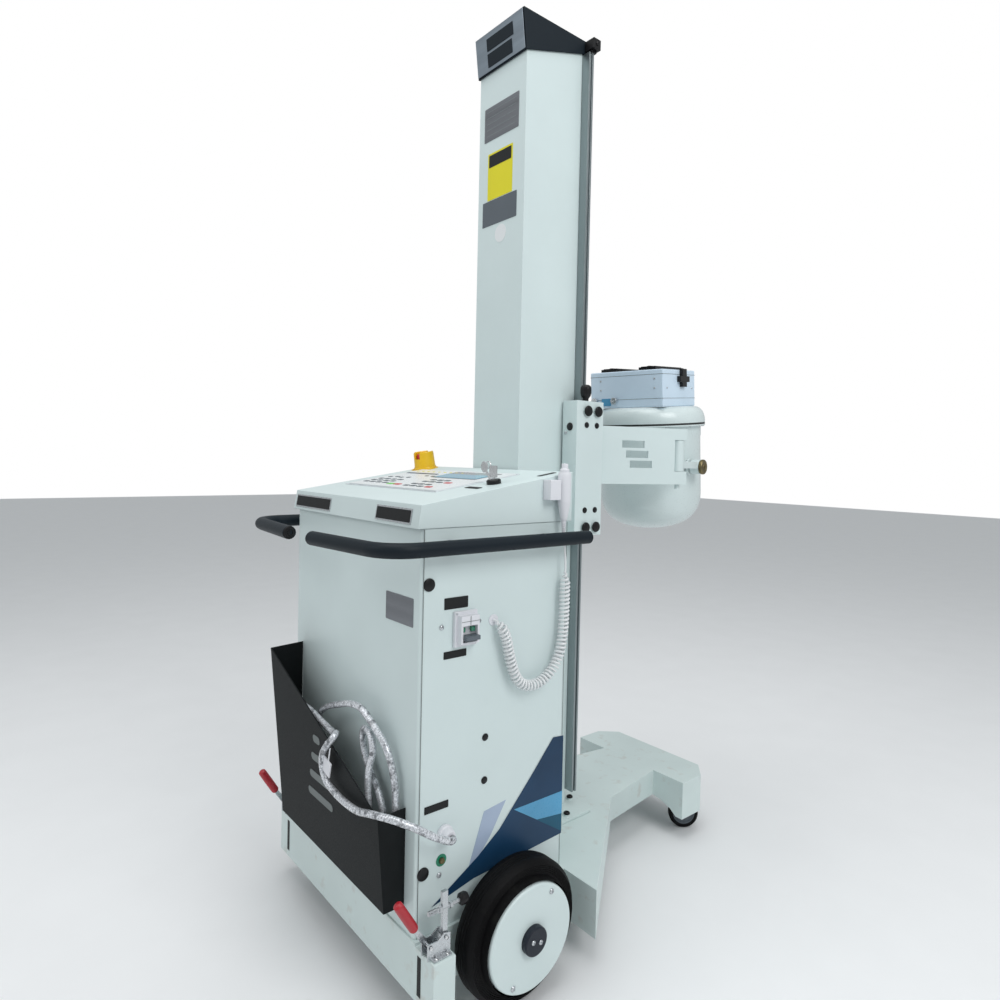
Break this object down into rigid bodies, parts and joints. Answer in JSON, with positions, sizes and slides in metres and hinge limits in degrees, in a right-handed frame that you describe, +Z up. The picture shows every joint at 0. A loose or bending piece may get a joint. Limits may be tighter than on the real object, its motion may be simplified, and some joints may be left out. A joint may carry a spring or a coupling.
{
  "type": "mobile radiographic x-ray unit",
  "caption": "Wheeled X-ray trolley: generator cabinet with sloping console, balanced column, sliding carriage, swinging arm and tilting tube head with collimator.",
  "frame": {"origin": "centre of the footprint on the floor, cords left out", "axes": "+Z up along the column, +Y the way the trolley travels (tube head side), +X the operator's right"},
  "size_m": [0.666, 1.0688, 1.79],
  "materials": {
    "white_paint": "satin powder coat",
    "slate_paint": "satin powder coat",
    "grey_paint": "matte powder coat",
    "red_plastic": "matte",
    "yellow_plastic": "matte",
    "black_plastic": "matte",
    "ivory_plastic": "matte",
    "overlay_plastic": "printed membrane",
    "blue_plastic": "matte",
    "steel": "brushed",
    "cast_iron": "painted casting",
    "aluminium": "mill finish",
    "resin": "cast resin",
    "brass": "turned",
    "rubber": "matte",
    "tyre": "matte",
    "glass": "clear",
    "lead_sheath": "satin sheath",
    "coil_sheath": "satin sheath"
  },
  "bodies": {
    "base": {"chassis_base": "white_paint", "wheel_axle": "steel", "column_foot": "white_paint", "generator_cabinet": "white_paint", "console_housing": "white_paint", "keypad_panel": "overlay_plastic", "emergency_stop_guard": "yellow_plastic", "key_switch_bezel": "black_plastic", "circuit_breaker_body": "ivory_plastic", "cable_gland": "ivory_plastic", "cable_pocket": "grey_paint", "high_voltage_generator": "resin", "control_board": "grey_paint", "column_body": "white_paint", "column_cap": "slate_paint", "guide_rail_right": "aluminium", "guide_rail_left": "aluminium", "push_handle_right": "slate_paint", "push_handle_left": "slate_paint", "hand_switch_holder": "ivory_plastic", "hand_switch_body": "ivory_plastic", "brake_bracket_right": "steel", "brake_bracket_left": "steel", "mains_cable": "lead_sheath", "mains_plug": "black_plastic", "hand_switch_cord": "coil_sheath", "lift_rope_front": "steel", "lift_rope_rear": "steel"},
    "rope_pulley": {"rope_pulley": "aluminium"},
    "counterweight": {"counterweight": "cast_iron"},
    "carriage": {"carriage": "white_paint", "head_arm": "white_paint"},
    "carriage_lock_knob": {"carriage_lock_knob": "black_plastic"},
    "yoke": {"yoke_knuckle": "white_paint"},
    "tilt_lock_knob": {"tilt_lock_knob": "brass"},
    "tube_head": {"tube_housing_tank": "white_paint", "tank_gasket": "rubber", "tank_lid": "white_paint", "xray_tube_insert": "glass", "collimator_body": "blue_plastic", "accessory_rail_frame": "black_plastic", "collimator_tape_bracket": "black_plastic"},
    "collimator_knob_1": {"collimator_knob_1": "steel"},
    "collimator_knob_2": {"collimator_knob_2": "steel"},
    "wheel_right": {"wheel_disc_right": "white_paint", "wheel_tyre_right": "tyre"},
    "wheel_left": {"wheel_disc_left": "white_paint", "wheel_tyre_left": "tyre"},
    "caster_fork_right": {"caster_fork_right": "steel"},
    "caster_fork_left": {"caster_fork_left": "steel"},
    "caster_wheel_right": {"caster_wheel_right": "rubber"},
    "caster_wheel_left": {"caster_wheel_left": "rubber"},
    "brake_lever_right": {"brake_lever_right": "red_plastic"},
    "brake_lever_left": {"brake_lever_left": "red_plastic"},
    "brake_arm_right": {"brake_arm_right": "steel"},
    "brake_arm_left": {"brake_arm_left": "steel"},
    "emergency_stop_button": {"emergency_stop_button": "red_plastic"},
    "start_key": {"start_key": "steel"},
    "circuit_breaker_lever": {"circuit_breaker_lever": "black_plastic"},
    "hand_switch_button": {"hand_switch_button": "ivory_plastic"}
  },
  "joints": [
    {"name": "carriage_slide", "type": "slide", "parent": "base", "child": "carriage", "axis": [0, 0, 1], "range_m": [-0.45, 0.595], "deforming": ["lift_rope_front"]},
    {"name": "counterweight_slide", "type": "slide", "parent": "base", "child": "counterweight", "axis": [0, 0, 1], "range_m": [-0.6, 0.45], "deforming": ["lift_rope_rear"]},
    {"name": "rope_pulley_spin", "type": "hinge", "parent": "base", "child": "rope_pulley", "pos_m": [0, 0.02407, 1.7], "axis": [1, 0, 0], "range_deg": [-600, 801]},
    {"name": "carriage_lock_turn", "type": "hinge", "parent": "carriage", "child": "carriage_lock_knob", "pos_m": [0.1125, 0.04807, 1.03], "axis": [0, 0, 1], "range_deg": [0, 270]},
    {"name": "yoke_swing", "type": "hinge", "parent": "carriage", "child": "yoke", "pos_m": [0.1685, 0.29387, 0.91], "axis": [0, 0, 1], "range_deg": [-110, 30]},
    {"name": "head_tilt", "type": "hinge", "parent": "yoke", "child": "tube_head", "pos_m": [0.00624, 0.37273, 0.8885], "axis": [0.9781, 0.2079, 0], "range_deg": [-185, 10]},
    {"name": "tilt_lock_turn", "type": "hinge", "parent": "yoke", "child": "tilt_lock_knob", "pos_m": [0.16274, 0.40599, 0.8885], "axis": [0.9781, 0.2079, 0], "range_deg": [0, 180]},
    {"name": "collimator_knob_1_turn", "type": "hinge", "parent": "tube_head", "child": "collimator_knob_1", "pos_m": [-0.06781, 0.26897, 1.0465], "axis": [0.2071, -0.9744, -0.0872], "range_deg": [-120, 120]},
    {"name": "collimator_knob_2_turn", "type": "hinge", "parent": "tube_head", "child": "collimator_knob_2", "pos_m": [-0.01303, 0.28061, 1.0465], "axis": [0.2071, -0.9744, -0.0872], "range_deg": [-120, 120]},
    {"name": "wheel_spin_right", "type": "hinge", "parent": "base", "child": "wheel_right", "pos_m": [0.28, -0.25593, 0.1153], "axis": [1, 0, 0], "continuous": true},
    {"name": "caster_swivel_right", "type": "hinge", "parent": "base", "child": "caster_fork_right", "pos_m": [0.1185, 0.40107, 0.09], "axis": [0, 0, 1], "continuous": true},
    {"name": "caster_spin_right", "type": "hinge", "parent": "caster_fork_right", "child": "caster_wheel_right", "pos_m": [0.12632, 0.41017, 0.036], "axis": [0.7581, -0.6521, 0], "continuous": true},
    {"name": "brake_lever_turn_right", "type": "hinge", "parent": "base", "child": "brake_lever_right", "pos_m": [0.277, -0.42893, 0.157], "axis": [1, 0, 0], "range_deg": [0, 42]},
    {"name": "brake_arm_turn_right", "type": "hinge", "parent": "base", "child": "brake_arm_right", "pos_m": [0.277, -0.40193, 0.163], "axis": [1, 0, 0], "range_deg": [-20.5, 0]},
    {"name": "wheel_spin_left", "type": "hinge", "parent": "base", "child": "wheel_left", "pos_m": [-0.28, -0.25593, 0.1153], "axis": [1, 0, 0], "continuous": true},
    {"name": "caster_swivel_left", "type": "hinge", "parent": "base", "child": "caster_fork_left", "pos_m": [-0.1185, 0.40107, 0.09], "axis": [0, 0, 1], "continuous": true},
    {"name": "caster_spin_left", "type": "hinge", "parent": "caster_fork_left", "child": "caster_wheel_left", "pos_m": [-0.11067, 0.41017, 0.036], "axis": [0.7581, -0.6521, 0], "continuous": true},
    {"name": "brake_lever_turn_left", "type": "hinge", "parent": "base", "child": "brake_lever_left", "pos_m": [-0.277, -0.42893, 0.157], "axis": [1, 0, 0], "range_deg": [0, 42]},
    {"name": "brake_arm_turn_left", "type": "hinge", "parent": "base", "child": "brake_arm_left", "pos_m": [-0.277, -0.40193, 0.163], "axis": [1, 0, 0], "range_deg": [-20.5, 0]},
    {"name": "emergency_stop_press", "type": "slide", "parent": "base", "child": "emergency_stop_button", "axis": [0, 0.1614, -0.9869], "range_m": [0, 0.004], "stiffness_N_per_m": 700},
    {"name": "start_key_turn", "type": "hinge", "parent": "base", "child": "start_key", "pos_m": [0.1885, -0.25209, 0.85395], "axis": [0, -0.1614, 0.9869], "range_deg": [-90, 0]},
    {"name": "circuit_breaker_switch", "type": "hinge", "parent": "base", "child": "circuit_breaker_lever", "pos_m": [0.2505, -0.34593, 0.6105], "axis": [0, 1, 0], "range_deg": [-40, 0]},
    {"name": "hand_switch_press", "type": "slide", "parent": "base", "child": "hand_switch_button", "axis": [0, 0, -1], "range_m": [0, 0.004], "stiffness_N_per_m": 400}
  ],
  "couplings": [
    {"joint": "counterweight_slide", "follows": "carriage_slide", "ratio": -1},
    {"joint": "rope_pulley_spin", "follows": "carriage_slide", "rad_per_m": 23.256},
    {"joint": "brake_arm_turn_right", "follows": "brake_lever_turn_right", "ratio": -0.48},
    {"joint": "brake_arm_turn_left", "follows": "brake_lever_turn_left", "ratio": -0.48}
  ]
}
